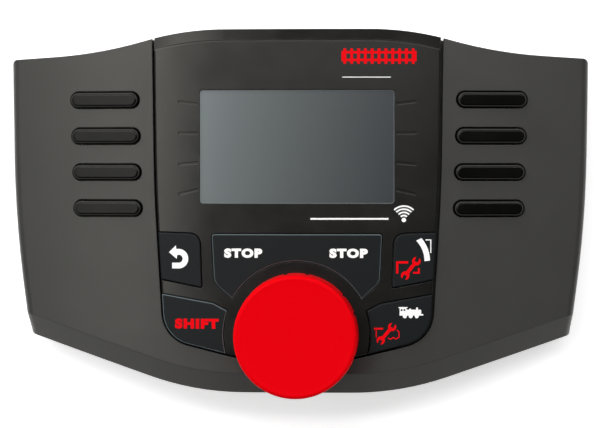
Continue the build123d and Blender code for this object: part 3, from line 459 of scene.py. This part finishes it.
# ---------------------------------------------------------------- knob
class CONTROLLER_OT_knob(bpy.types.Operator):
    """Make the speed knob: a turned body with finger grooves cut round its rim"""

    bl_idname = "controller.knob"
    bl_label = "Knob"

    def execute(self, context):
        look = context.scene.controller_finish
        size = context.scene.controller_knob
        body = bpy.data.objects.new("knob_blank", turned_body(size))
        red = knob_red(tuple(look.knob))
        cutter = body.modifiers.new("grooves", "NODES")
        cutter.node_group = groove_tree()
        radius = (KNOB_HIGH.x - KNOB_LOW.x) / 2
        values = {
            "Count": size.grips,
            "Ring Radius": radius + size.grip_radius - size.grip_depth,
            "Groove Radius": size.grip_radius,
            "Groove Height": (KNOB_HIGH.z - KNOB_LOW.z) * 2,
            "Centre": (KNOB_CENTRE.x, KNOB_CENTRE.y, KNOB_HIGH.z - size.edge * 1.1),
            "Material": red,
        }
        for socket in cutter.node_group.interface.items_tree:
            if socket.name in values:
                cutter[socket.identifier] = values[socket.name]
        mesh = settled_mesh(context, body)
        knob = new_piece(context, "speed_knob", mesh, red, "knob")
        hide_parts("knob")
        return {"FINISHED"}


def turned_body(size):
    """Hollow knob on its axis: skirt, soft top edge, dished top and a hub for the shaft."""
    radius = (KNOB_HIGH.x - KNOB_LOW.x) / 2
    low, high = KNOB_LOW.z, KNOB_HIGH.z
    top = radius - size.draft
    wall, crown = 2.0 * MM, 2.5 * MM
    hub, bore, hub_low = 5.0 * MM, 3.01 * MM, low + 2.0 * MM
    edge = arc(top - size.edge, high - size.edge, size.edge, 0, 90, 8)
    shares = (0.88, 0.75, 0.6, 0.45, 0.3, 0.15, 0.0)
    dished = [(top * share, high - size.dish * (1 - share ** 2)) for share in shares]
    under = [
        (0.0, high - crown + 0.01 * MM), (bore, high - crown + 0.01 * MM), (bore, hub_low), (hub, hub_low),
        (hub, high - crown), (top - wall, high - crown), (top - wall, low), (radius - 0.3 * MM, low),
        (radius, low + 0.3 * MM),
    ]
    profile = under + edge + dished
    around = 192
    work = bmesh.new()
    rings = []
    for distance, height in profile:
        if distance == 0:
            rings.append([work.verts.new((KNOB_CENTRE.x, KNOB_CENTRE.y, height))])
            continue
        turns = [2 * math.pi * step / around for step in range(around)]
        rings.append([
            work.verts.new((
                KNOB_CENTRE.x + distance * math.cos(turn), KNOB_CENTRE.y + distance * math.sin(turn), height
            ))
            for turn in turns
        ])
    for inner, outer in zip(rings, rings[1:]):
        for step in range(around):
            after = (step + 1) % around
            ends = [(inner, step), (outer, step), (outer, after), (inner, after)]
            corners = [ring[index % len(ring)] for ring, index in ends]
            work.faces.new(list(dict.fromkeys(corners)))
    bmesh.ops.recalc_face_normals(work, faces=work.faces)
    mesh = bpy.data.meshes.new("knob_blank")
    work.to_mesh(mesh)
    work.free()
    return mesh


def groove_tree():
    """Cuts a ring of upright round grooves out of the mesh that it is given."""
    tree = bpy.data.node_groups.new("ring_of_grooves", "GeometryNodeTree")
    tree.interface.new_socket("Geometry", in_out="INPUT", socket_type="NodeSocketGeometry")
    for name, kind in (
        ("Count", "NodeSocketInt"), ("Ring Radius", "NodeSocketFloat"), ("Groove Radius", "NodeSocketFloat"),
        ("Groove Height", "NodeSocketFloat"), ("Centre", "NodeSocketVector"),
        ("Material", "NodeSocketMaterial"),
    ):
        tree.interface.new_socket(name, in_out="INPUT", socket_type=kind)
    tree.interface.new_socket("Geometry", in_out="OUTPUT", socket_type="NodeSocketGeometry")
    new, link = tree.nodes.new, tree.links.new
    given, result = new("NodeGroupInput"), new("NodeGroupOutput")
    ring = new("GeometryNodeMeshCircle")
    link(given.outputs["Count"], ring.inputs["Vertices"])
    link(given.outputs["Ring Radius"], ring.inputs["Radius"])
    groove = new("GeometryNodeMeshCylinder")
    groove.inputs["Vertices"].default_value = 24
    link(given.outputs["Groove Radius"], groove.inputs["Radius"])
    link(given.outputs["Groove Height"], groove.inputs["Depth"])
    sunk = new("ShaderNodeMath")
    sunk.operation = "MULTIPLY"
    sunk.inputs[1].default_value = -0.5
    link(given.outputs["Groove Height"], sunk.inputs[0])
    drop = new("ShaderNodeCombineXYZ")
    link(sunk.outputs["Value"], drop.inputs["Z"])
    below = new("GeometryNodeTransform")
    link(groove.outputs["Mesh"], below.inputs["Geometry"])
    link(drop.outputs["Vector"], below.inputs["Translation"])
    spread = new("GeometryNodeInstanceOnPoints")
    link(ring.outputs["Mesh"], spread.inputs["Points"])
    link(below.outputs["Geometry"], spread.inputs["Instance"])
    placed = new("GeometryNodeTransform")
    link(spread.outputs["Instances"], placed.inputs["Geometry"])
    link(given.outputs["Centre"], placed.inputs["Translation"])
    real = new("GeometryNodeRealizeInstances")
    link(placed.outputs["Geometry"], real.inputs["Geometry"])
    cut = new("GeometryNodeMeshBoolean")
    cut.operation = "DIFFERENCE"
    link(given.outputs["Geometry"], cut.inputs["Mesh 1"])
    link(real.outputs["Geometry"], cut.inputs["Mesh 2"])
    solid = new("GeometryNodeRealizeInstances")
    link(cut.outputs["Mesh"], solid.inputs["Geometry"])
    painted = new("GeometryNodeSetMaterial")
    link(solid.outputs["Geometry"], painted.inputs["Geometry"])
    link(given.outputs["Material"], painted.inputs["Material"])
    link(painted.outputs["Geometry"], result.inputs["Geometry"])
    return tree


def knob_red(base):
    """Satin red moulding with a very fine grain and faint handling marks."""
    mat = Nodes("knob_red")
    mottle = mat.blend(mat.noise(11 * MM, detail=3), tint(base, 0.97), tint(base, 1.03))
    mat.join(mottle, mat.skin.inputs["Base Color"])
    mat.skin.inputs["Specular IOR Level"].default_value = 0.02
    mat.join(mat.remap(mat.noise(6 * MM, detail=4), 0.3, 0.75, 0.36, 0.44), mat.skin.inputs["Roughness"])
    mat.join(mat.bump(mat.noise(0.3 * MM), 0.004 * MM), mat.skin.inputs["Normal"])
    return mat.material


# ---------------------------------------------------------------- casing
class CONTROLLER_OT_casing(bpy.types.Operator):
    """Finish the front frame, the centre panel, the rear shell, its door, feet and screws"""

    bl_idname = "controller.casing"
    bl_label = "Casing"

    def execute(self, context):
        look = context.scene.controller_finish
        # Grips: the default painted highlight makes their edges a little paler.
        grip = moulded("grip_plastic", tuple(look.grip), 0.33, 0.3)
        finish_nodes(["front_frame", "rear_shell", "battery_door"], grip)
        base = tuple(look.panel)
        # Panel: a strong painted highlight pales every sharp edge, round the openings and the ribs.
        panel = moulded("panel_plastic", base, 0.22, 0.5, height=0.004 * MM, painted_highlight_gain=5.0, edge=0.15 * MM)
        finish_nodes(["centre_panel"], panel)
        finish_nodes(["rubber_feet"], rubber())
        finish_nodes(["case_screws", "board_screws", "key_board_screws"], screw_steel())
        return {"FINISHED"}


def rubber():
    mat = Nodes("foot_rubber")
    dusty = mat.blend(mat.noise(1.6 * MM, detail=5), (0.012, 0.012, 0.012), (0.035, 0.034, 0.032))
    mat.join(dusty, mat.skin.inputs["Base Color"])
    mat.skin.inputs["Roughness"].default_value = 0.85
    mat.join(mat.bump(mat.noise(0.25 * MM), 0.03 * MM), mat.skin.inputs["Normal"])
    return mat.material


def screw_steel():
    mat = Nodes("zinc_steel")
    tone = mat.blend(mat.noise(0.8 * MM, detail=4), (0.32, 0.32, 0.33), (0.52, 0.51, 0.47))
    mat.join(tone, mat.skin.inputs["Base Color"])
    mat.skin.inputs["Metallic"].default_value = 1.0
    mat.join(mat.remap(mat.noise(0.4 * MM), 0.3, 0.7, 0.26, 0.42), mat.skin.inputs["Roughness"])
    return mat.material


# ---------------------------------------------------------------- display
class CONTROLLER_OT_display(bpy.types.Operator):
    """Finish the display window and the stack behind it"""

    bl_idname = "controller.display"
    bl_label = "Display"

    def execute(self, context):
        look = context.scene.controller_finish
        lens = new_piece(
            context, "display_lens", lens_mesh(context), screen("display_lens", look, 0.22), "casing"
        )
        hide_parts("display_window")
        finish_nodes(["lcd_glass"], screen("display_glass", look, 0.3))
        finish_nodes(["lcd_backlight"], plain("light_guide", (0.7, 0.7, 0.68), 0.35))
        finish_nodes(
            ["lcd_holder", "connectors", "encoder_rotor"], plain("inner_black", (0.02, 0.02, 0.02), 0.5)
        )
        finish_nodes(["lcd_seal"], plain("seal_foam", (0.03, 0.03, 0.03), 0.9))
        return {"FINISHED"}


def lens_mesh(context):
    """Curved lens with rounded corners, and the flange that holds it behind the panel."""
    over = surface_of("display_window")
    flange = 1.08
    left, low = LENS_LOW.x / MM + flange, LENS_LOW.y / MM + flange
    right, high = LENS_HIGH.x / MM - flange, LENS_HIGH.y / MM - flange

    def height(x, y):
        inside = (left + 0.4) * MM, (right - 0.4) * MM, (low + 0.4) * MM, (high - 0.4) * MM
        return over(min(max(x, inside[0]), inside[1]), min(max(y, inside[2]), inside[3]))

    front = rounded_box(left, low, right, high, 0.9)
    plug = drape("lens_plug", [plate(context, "plug", [front])], height, 0, 1.6 * MM)
    edge = rounded_box(left - flange, low - flange, right + flange, high + flange, 0.9)
    rim = drape("lens_rim", [plate(context, "rim", [edge])], height, -1.6 * MM, 2.4 * MM)
    work = bmesh.new()
    for mesh in (plug, rim):
        work.from_mesh(mesh)
        bpy.data.meshes.remove(mesh)
    mesh = bpy.data.meshes.new("display_lens")
    work.to_mesh(mesh)
    work.free()
    soften(mesh)
    return mesh


def rounded_box(left, low, right, high, radius):
    corners = [(right, high, 0), (left, high, 90), (left, low, 180), (right, low, 270)]
    outline = []
    for x, y, start in corners:
        inward_x = -1 if x == right else 1
        inward_y = -1 if y == high else 1
        outline += arc(x + inward_x * radius, y + inward_y * radius, radius, start, start + 90, 6)
    return outline


def soften(mesh, angle=35):
    """Smooth shading with creases kept where faces meet at more than this angle."""
    mesh.shade_smooth()
    work = bmesh.new()
    work.from_mesh(mesh)
    for edge in work.edges:
        edge.smooth = len(edge.link_faces) == 2 and edge.calc_face_angle() < math.radians(angle)
    work.to_mesh(mesh)
    work.free()


def screen(name, look, rough):
    """Switched-off display with a painted reflection: pale at its far left corner, darker towards the near right,
    and a painted highlight along its edges.
    """
    mat = Nodes(name)
    split = mat.add("ShaderNodeSeparateXYZ")
    mat.join(mat.place, split.inputs["Vector"])
    # Painted reflection: the colour fades from pale at the far left to dark at the near right, in place of the
    # soft light's reflection.
    across = mat.remap(split.outputs["X"], LENS_LOW.x, LENS_HIGH.x, 0.0, 0.94)
    down = mat.remap(split.outputs["Y"], LENS_HIGH.y, LENS_LOW.y, 0.0, 0.06)
    total = mat.add("ShaderNodeMath")
    mat.join(across, total.inputs[0])
    mat.join(down, total.inputs[1])
    reflection_falloff = mat.add("ShaderNodeMath")
    reflection_falloff.operation = "POWER"
    reflection_falloff.use_clamp = True
    mat.join(total.outputs["Value"], reflection_falloff.inputs[0])
    reflection_falloff.inputs[1].default_value = 0.6
    tone = mat.blend(reflection_falloff.outputs["Value"], tuple(look.display_reflection_pale), tuple(look.display_reflection_dark))
    # Painted highlight: the lens edges are paled.
    rim = mat.blend(mat.edges(0.3 * MM), tone, tint(tuple(look.display_reflection_pale), 1.5))
    mat.join(rim, mat.skin.inputs["Base Color"])
    mat.skin.inputs["Specular IOR Level"].default_value = 0.3
    mat.join(
        mat.remap(mat.noise(12 * MM, detail=1), 0.1, 0.9, rough, rough + 0.03), mat.skin.inputs["Roughness"]
    )
    return mat.material


def plain(name, base, rough, metal=0.0):
    """Simple inner finish with faint variation."""
    mat = Nodes(name)
    tone = mat.blend(mat.noise(3 * MM, detail=4), tint(base, 0.88), tint(base, 1.12))
    mat.join(tone, mat.skin.inputs["Base Color"])
    mat.skin.inputs["Metallic"].default_value = metal
    mat.join(
        mat.remap(mat.noise(1.5 * MM), 0.3, 0.7, rough - 0.05, rough + 0.05), mat.skin.inputs["Roughness"]
    )
    return mat.material


# ---------------------------------------------------------------- keys
class CONTROLLER_OT_keys(bpy.types.Operator):
    """Finish the function keys in the grips and the keys round the knob"""

    bl_idname = "controller.keys"
    bl_label = "Keys"

    def execute(self, context):
        look = context.scene.controller_finish
        black = tuple(look.function_key)
        # Function keys: a painted highlight rings the crest where the top rounds over.
        pill = moulded("function_key_plastic", black, 0.22, 0.14, painted_highlight_gain=26.0, crest=(0.7, 0.9))
        finish_nodes(FUNCTION_KEYS, pill)
        blue_black = tuple(look.panel_key)
        # Panel keys: a faint painted highlight along their edges.
        flush = moulded("panel_key_plastic", blue_black, 0.42, 0.13, painted_highlight_gain=2.2, gloss=NEUTRAL)
        finish_nodes(PANEL_KEYS, flush)
        # STOP and SHIFT keys: a bright painted highlight rings their sloping edges.
        painted_ring_highlight = moulded(
            "painted_ring_key_plastic", blue_black, 0.42, 0.13, painted_highlight_gain=16.0, gloss=NEUTRAL, crest=(0.3, 0.93)
        )
        finish_nodes(["stop_key", "shift_key"], painted_ring_highlight)
        finish_nodes(
            ["left_key_mat", "right_key_mat", "panel_key_mat"], plain("silicone", (0.4, 0.4, 0.4), 0.6)
        )
        return {"FINISHED"}


# ---------------------------------------------------------------- printed marks
class CONTROLLER_OT_marks(bpy.types.Operator):
    """Print the marks on the panel and its keys"""

    bl_idname = "controller.marks"
    bl_label = "Printed marks"

    def execute(self, context):
        inks = context.scene.controller_print
        white = ink("white_ink", tuple(inks.white))
        red = ink("red_ink", tuple(inks.red))
        weight = inks.weight
        stop_boxes = ((-19.5, -12.05, -9.2, -9.5), (8.8, -12.05, 19.1, -9.5))
        stop = [lettering(context, "STOP", box, weight) for box in stop_boxes]
        shift = [lettering(context, "SHIFT", (-32.9, -31.2, -21.0, -28.45), weight)]
        sheets = [
            ("stop_marks", "stop_key", white, stop),
            ("shift_mark", "shift_key", red, shift),
            ("back_mark", "back_key", white, [plate(context, "arrow", [turning_arrow()])]),
            ("turnout_mark", "turnout_key", white, [plate(context, "points", turnout_loops())]),
            ("turnout_tool_mark", "turnout_key", red, [plate(context, "tool", turnout_tool_loops())]),
            ("loco_mark", "loco_key", white, [plate(context, "engine", engine(27.3, -28.2))]),
            ("loco_tool_mark", "loco_key", red, [plate(context, "tool", loco_tool_loops())]),
            ("signal_mark", "centre_panel", white, [plate(context, "signal", signal_loops())]),
            ("track_mark", "centre_panel", red, [plate(context, "track", track(12.0, 39.95, 32.1, 44.1, 11))]),
            ("panel_rules", "centre_panel", white, [plate(context, "rules", rule_loops())]),
        ]
        for name, node, colour, plates in sheets:
            mesh = drape(name, plates, surface_of(node), inks.lift, 0.06 * MM)
            new_piece(context, name, mesh, colour, "casing" if node == "centre_panel" else node)
        return {"FINISHED"}


def ink(name, base):
    """Screen-printed ink: slightly uneven, less shiny than the plastic, with a faint painted glow."""
    mat = Nodes(name)
    patchy = mat.blend(mat.noise(0.5 * MM, detail=4), tint(base, 0.93), base)
    mat.join(patchy, mat.skin.inputs["Base Color"])
    # Painted light: the ink glows faintly in its own colour, so it reads brighter than its lighting gives.
    mat.join(patchy, mat.skin.inputs["Emission Color"])
    mat.skin.inputs["Emission Strength"].default_value = 0.2
    mat.skin.inputs["Specular IOR Level"].default_value = 0.05
    mat.join(mat.remap(mat.noise(0.9 * MM), 0.3, 0.7, 0.48, 0.6), mat.skin.inputs["Roughness"])
    return mat.material


def turning_arrow():
    """Arrow that comes from the right and turns back to the left."""
    x, y = -31.88, -12.34
    head = [(-32.3, -11.42), (-32.42, -12.35), (-34.55, -10.6), (-32.65, -8.75), (-32.5, -9.7)]
    outer = arc(x, y, 2.64, 90, -90, 20)
    tail = [(-33.66, y - 2.64), (-33.66, y - 1.08)]
    return head + outer + tail + arc(x, y, 1.08, -90, 90, 14)


def turnout_loops():
    """Curved track leaving a straight one."""
    branch = arc(26.3, -12.9, 7.95, 0, 44, 12) + arc(26.3, -12.9, 9.45, 41, 1, 12)
    straight = strip([(34.55, -7.2), (35.95, -7.2), (35.95, -10.7)], 0.28)
    return [branch, straight]


def turnout_tool_loops():
    tool = spanner((29.1, -16.75), (32.1, -12.9), 1.15, 0.95, 0.95)
    corner = strip([(26.95, -16.2), (26.95, -13.2), (29.9, -13.2)], 0.62)
    return [tool, corner, strip([(31.2, -16.0), (32.75, -16.0), (32.75, -14.75)], 0.5)]


def loco_tool_loops():
    tool = spanner((22.55, -34.15), (25.6, -30.55), 1.1, 0.9, 0.9)
    cab = strip([(20.75, -31.0), (23.2, -31.0)], 0.5)
    side = strip([(21.35, -31.45), (21.35, -33.3)], 0.28)
    front = [(26.9, -31.3), (27.45, -31.9), (27.45, -33.3)]
    wheels = [(26.6, -33.75), (25.9, -33.35), (25.2, -33.85), (24.5, -33.5)]
    return [tool, cab, side, strip(front + wheels, 0.28)]


def signal_loops():
    """Dot with four waves over it."""
    x, y = 28.72, -1.85
    waves = [band(x, y, radius - 0.22, radius + 0.22, 46, 134) for radius in (1.2, 2.05, 2.9, 3.72)]
    return [disc(x, y, 0.6), *waves]


def rule_loops():
    return [oblong(12.2, 36.3, 25.2, 36.52), oblong(3.7, -1.78, 24.6, -1.32)]


# ---------------------------------------------------------------- boards and cells
class CONTROLLER_OT_innards(bpy.types.Operator):
    """Finish the boards, chips, leads, contacts and cells"""

    bl_idname = "controller.innards"
    bl_label = "Boards and cells"

    def execute(self, context):
        boards = ["main_board", "left_key_board", "right_key_board", "wireless_board"]
        finish_nodes(boards, board_mask())
        finish_nodes(
            ["left_ribbon", "right_ribbon", "lcd_flex"], plain("amber_film", (0.42, 0.17, 0.03), 0.3)
        )
        finish_nodes(
            ["processor_chip", "memory_chip", "power_coil"], plain("chip_epoxy", (0.02, 0.02, 0.02), 0.55)
        )
        finish_nodes(["capacitors", "wireless_shield"], plain("tin_plate", (0.6, 0.6, 0.58), 0.35, 1.0))
        contacts = ["contact_springs", "left_contact_plates", "right_contact_plates", "push_dome"]
        finish_nodes(contacts, plain("nickel", (0.62, 0.6, 0.55), 0.25, 1.0))
        finish_nodes(["encoder_body", "encoder_shaft"], plain("encoder_metal", (0.5, 0.5, 0.5), 0.32, 1.0))
        finish_nodes(CELLS, cell_sleeve())
        return {"FINISHED"}


def board_mask():
    mat = Nodes("board_mask")
    tracks = mat.add("ShaderNodeTexBrick", Scale=220.0)
    mat.join(mat.place, tracks.inputs["Vector"])
    tone = mat.blend(tracks.outputs["Fac"], (0.006, 0.075, 0.03), (0.012, 0.12, 0.045))
    mat.join(tone, mat.skin.inputs["Base Color"])
    mat.skin.inputs["Roughness"].default_value = 0.3
    return mat.material


def cell_sleeve():
    """Plain two-tone sleeve with a bare metal end."""
    mat = Nodes("cell_sleeve")
    split = mat.add("ShaderNodeSeparateXYZ")
    mat.join(mat.place, split.inputs["Vector"])
    away = mat.add("ShaderNodeMath")
    away.operation = "ABSOLUTE"
    mat.join(split.outputs["X"], away.inputs[0])
    band = mat.remap(away.outputs["Value"], 14 * MM, 14.3 * MM, 0.0, 1.0)
    tone = mat.blend(band, (0.03, 0.1, 0.2), (0.35, 0.36, 0.37))
    metal = mat.remap(away.outputs["Value"], 21.3 * MM, 21.4 * MM, 0.0, 1.0)
    mat.join(mat.blend(metal, tone, (0.6, 0.58, 0.54)), mat.skin.inputs["Base Color"])
    mat.join(metal, mat.skin.inputs["Metallic"])
    mat.skin.inputs["Roughness"].default_value = 0.3
    return mat.material


# ---------------------------------------------------------------- studio
class CONTROLLER_OT_studio(bpy.types.Operator):
    """Make the floor, the soft lights and the camera"""

    bl_idname = "controller.studio"
    bl_label = "Studio"

    def execute(self, context):
        studio = context.scene.controller_studio
        context.scene.view_settings.view_transform = "Standard"
        floor = add_floor(context)
        world(context, studio.sky)
        soft_box(context, "key_box", (-0.423, 0.3, 0.88), 0.25, 1.1, studio.key)
        soft_box(context, "top_box", (-0.02, 0.3, 0.95), 0.6, 0.57, studio.top)
        soft_box(context, "high_box", (0.0, 0.37, 0.93), 1.4, 0.15, studio.high)
        soft_box(context, "side_box", (-0.7, 0.58, 0.42), 0.5, 1.0, studio.side)
        soft_box(context, "low_box", (0.0, 0.91, 0.42), 1.6, 0.5, studio.low)
        add_camera(context, studio)
        return {"FINISHED"}


def add_floor(context):
    mesh = bpy.data.meshes.new("floor")
    work = bmesh.new()
    bmesh.ops.create_grid(work, x_segments=1, y_segments=1, size=6.0)
    work.to_mesh(mesh)
    work.free()
    floor = bpy.data.objects.new("floor", mesh)
    context.scene.collection.objects.link(floor)
    mat = Nodes("floor_white")
    mat.skin.inputs["Base Color"].default_value = (0.9, 0.9, 0.9, 1)
    mat.skin.inputs["Emission Color"].default_value = (1, 1, 1, 1)
    mat.skin.inputs["Emission Strength"].default_value = 0.6
    mat.skin.inputs["Roughness"].default_value = 0.8
    mat.skin.inputs["Specular IOR Level"].default_value = 0.2
    mesh.materials.append(mat.material)
    return floor


def world(context, strength):
    """Even dim surroundings, so that the face keeps its depth."""
    sky = bpy.data.worlds.new("studio")
    context.scene.world = sky
    sky.use_nodes = True
    glow = sky.node_tree.nodes["Background"]
    glow.inputs["Color"].default_value = (1, 1, 1, 1)
    glow.inputs["Strength"].default_value = strength


def facing(place, target):
    """Turn that looks from a place to a target, with its top towards the far side."""
    back = (place - target).normalized()
    right = Vector((0, 1, 0)).cross(back).normalized()
    return Matrix((right, back.cross(right), back)).transposed().to_euler()


def soft_box(context, name, place, wide, tall, power):
    light = bpy.data.lights.new(name, "AREA")
    light.shape = "RECTANGLE"
    light.size = wide
    light.size_y = tall
    light.energy = power
    box = bpy.data.objects.new(name, light)
    box.location = place
    box.rotation_euler = facing(Vector(place), Vector((0, 0, 0.02)))
    context.scene.collection.objects.link(box)
    return box


def add_camera(context, studio):
    """Nearly straight down on the face, a little from the right."""
    data = bpy.data.cameras.new("camera")
    data.lens = studio.lens
    data.sensor_width = 36.0
    camera = bpy.data.objects.new("camera", data)
    context.scene.collection.objects.link(camera)
    face = PANEL_HIGH.z
    target = Vector((0.000908, -0.000251, face))
    camera.location = Vector((studio.aside, studio.far, face + studio.height))
    camera.rotation_euler = facing(camera.location, target)
    data.clip_start = 0.01
    data.clip_end = 50
    context.scene.camera = camera


# ---------------------------------------------------------------- panel and start
class CONTROLLER_PT_sidebar(bpy.types.Panel):
    """Buttons for every piece of the controller"""

    bl_idname = "CONTROLLER_PT_sidebar"
    bl_label = "Railway Hand Controller"
    bl_space_type = "VIEW_3D"
    bl_region_type = "UI"
    bl_category = "Controller"

    def draw(self, context):
        for kind in STEPS:
            self.layout.operator(kind.bl_idname)
        for group in SETTINGS:
            for key in SETTINGS[group].__annotations__:
                self.layout.prop(getattr(context.scene, group), key)


STEPS = [
    CONTROLLER_OT_studio,
    CONTROLLER_OT_casing,
    CONTROLLER_OT_display,
    CONTROLLER_OT_keys,
    CONTROLLER_OT_innards,
    CONTROLLER_OT_knob,
    CONTROLLER_OT_marks,
]
SETTINGS = {
    "controller_finish": ControllerFinish,
    "controller_knob": ControllerKnob,
    "controller_print": ControllerPrint,
    "controller_studio": ControllerStudio,
}


def register():
    for name, group in SETTINGS.items():
        bpy.utils.register_class(group)
        setattr(bpy.types.Scene, name, bpy.props.PointerProperty(type=group))
    for kind in [*STEPS, CONTROLLER_PT_sidebar]:
        bpy.utils.register_class(kind)


def unregister():
    for kind in [*STEPS, CONTROLLER_PT_sidebar]:
        bpy.utils.unregister_class(kind)
    for name, group in SETTINGS.items():
        delattr(bpy.types.Scene, name)
        bpy.utils.unregister_class(group)


def main():
    register()
    for kind in STEPS:
        group, step = kind.bl_idname.split(".")
        getattr(getattr(bpy.ops, group), step)()


if __name__ == "__main__":
    main()
